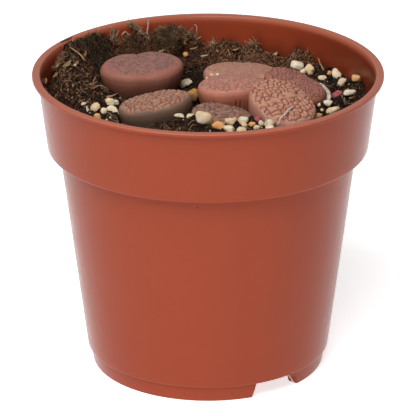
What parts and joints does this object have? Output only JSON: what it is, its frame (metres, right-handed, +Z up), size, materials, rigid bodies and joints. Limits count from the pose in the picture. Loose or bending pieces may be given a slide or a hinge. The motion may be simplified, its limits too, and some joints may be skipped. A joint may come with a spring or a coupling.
{
  "type": "potted lithops",
  "caption": "Living stone succulents with cleft, furrowed faces, grown in peaty mix with loose grit in a round banded nursery pot.",
  "frame": {"origin": "middle of the foot ring's underside, on the surface that the pot stands on", "axes": "+Z up along the pot's axis; -Y towards the picture's front; +X to the right in the picture"},
  "size_m": [0.105, 0.105, 0.092],
  "materials": {
    "pot_plastic": "satin",
    "peat": "matte",
    "leaf_skin": "matte",
    "dry_leaf": "matte",
    "grit_cream": "matte",
    "grit_white": "matte",
    "grit_amber": "matte",
    "grit_red": "matte",
    "bark": "matte",
    "moss": "matte"
  },
  "bodies": {
    "root": {"pot": "pot_plastic", "potting_mix": "peat", "lithops_1": "leaf_skin", "lithops_2": "leaf_skin", "lithops_3": "leaf_skin", "lithops_4": "leaf_skin", "lithops_5": "leaf_skin", "lithops_6": "leaf_skin", "lithops_7": "leaf_skin", "dry_sheath": "dry_leaf", "grit_amber_1": "grit_amber", "grit_amber_2": "grit_amber", "grit_amber_3": "grit_amber", "grit_amber_4": "grit_amber", "grit_amber_5": "grit_amber", "grit_amber_6": "grit_amber", "grit_amber_7": "grit_amber", "grit_cream_1": "grit_cream", "grit_cream_2": "grit_cream", "grit_cream_3": "grit_cream", "grit_cream_4": "grit_cream", "grit_cream_5": "grit_cream", "grit_cream_6": "grit_cream", "grit_cream_7": "grit_cream", "grit_cream_8": "grit_cream", "grit_cream_9": "grit_cream", "grit_cream_10": "grit_cream", "grit_cream_11": "grit_cream", "grit_cream_12": "grit_cream", "grit_cream_13": "grit_cream", "grit_cream_14": "grit_cream", "grit_cream_15": "grit_cream", "grit_cream_16": "grit_cream", "grit_cream_17": "grit_cream", "grit_cream_18": "grit_cream", "grit_cream_19": "grit_cream", "grit_cream_20": "grit_cream", "grit_red_1": "grit_red", "grit_red_2": "grit_red", "grit_white_1": "grit_white", "grit_white_2": "grit_white", "grit_white_3": "grit_white", "grit_white_4": "grit_white", "grit_white_5": "grit_white", "grit_white_6": "grit_white", "grit_white_7": "grit_white", "grit_white_8": "grit_white", "bark_chip": "bark", "moss_tuft": "moss"}
  },
  "joints": []
}
